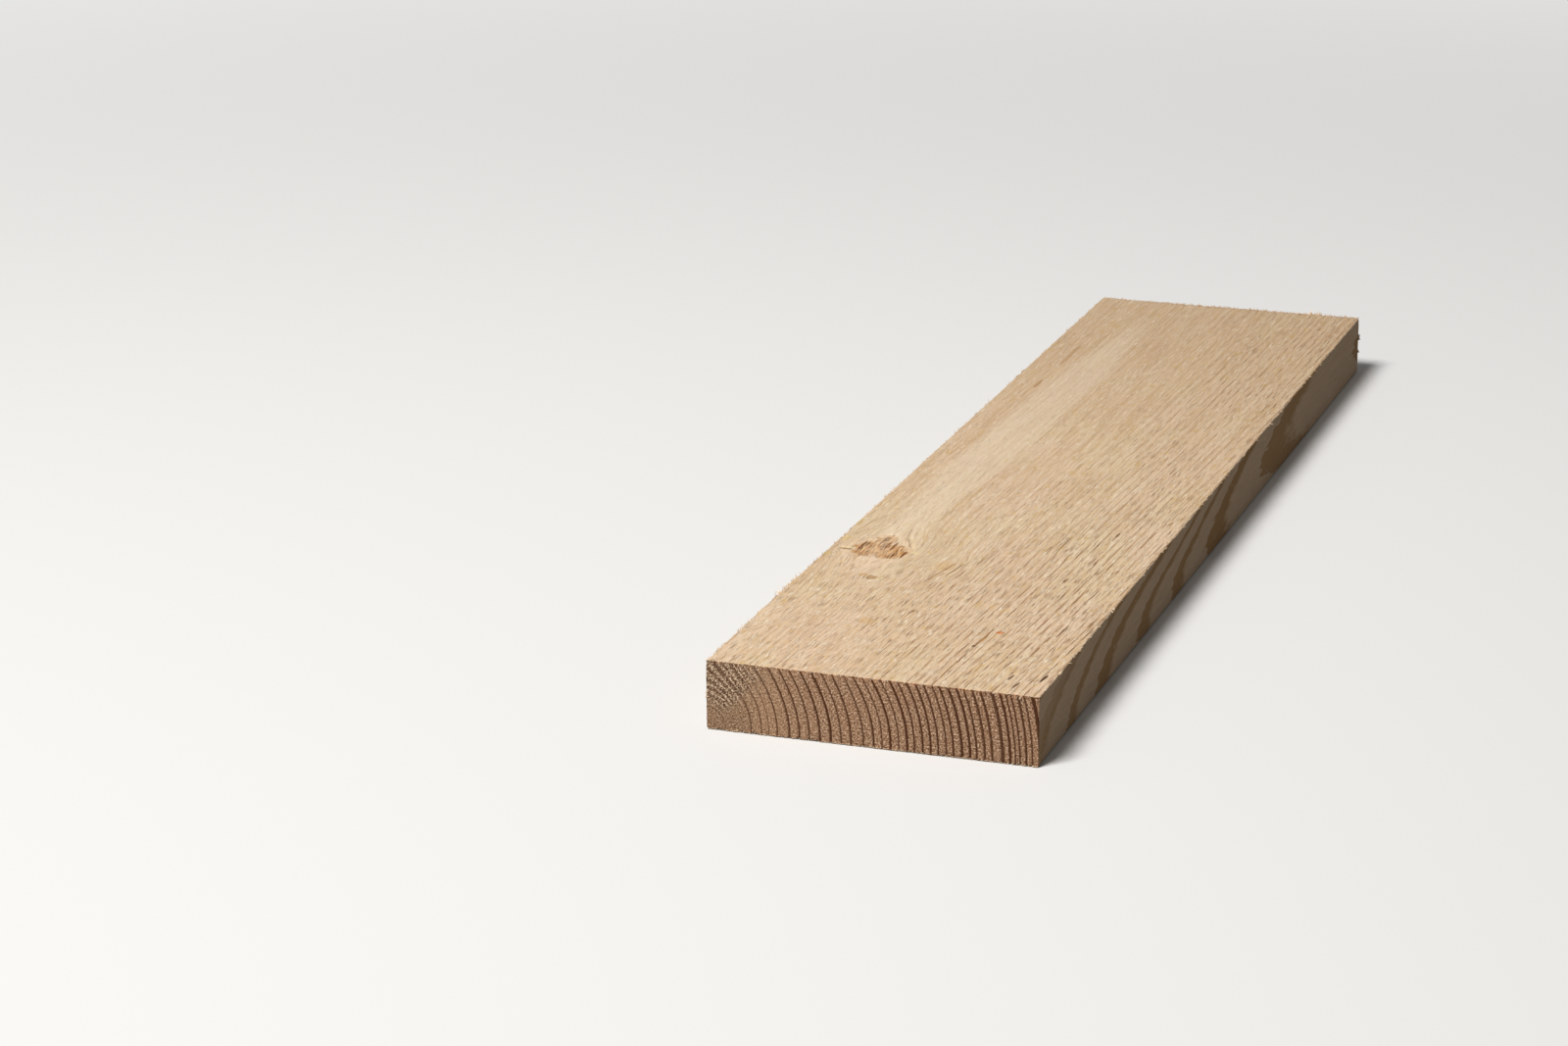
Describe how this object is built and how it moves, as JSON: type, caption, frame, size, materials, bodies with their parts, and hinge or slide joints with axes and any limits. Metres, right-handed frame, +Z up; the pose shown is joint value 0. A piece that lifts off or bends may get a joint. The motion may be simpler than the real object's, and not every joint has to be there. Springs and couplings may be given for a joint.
{
  "type": "lumber board",
  "caption": "Short length of softwood trim board, rough-sawn on its face, planed on its back and edges and crosscut square at both ends.",
  "frame": {"origin": "middle of the planed back, on which the board lies", "axes": "+Y along the grain from the near end to the far end, +X across the width, +Z up through the thickness to the sawn face"},
  "size_m": [0.089, 0.39, 0.019],
  "materials": {
    "softwood": "matte"
  },
  "bodies": {
    "root": {"board": "softwood"}
  },
  "joints": []
}
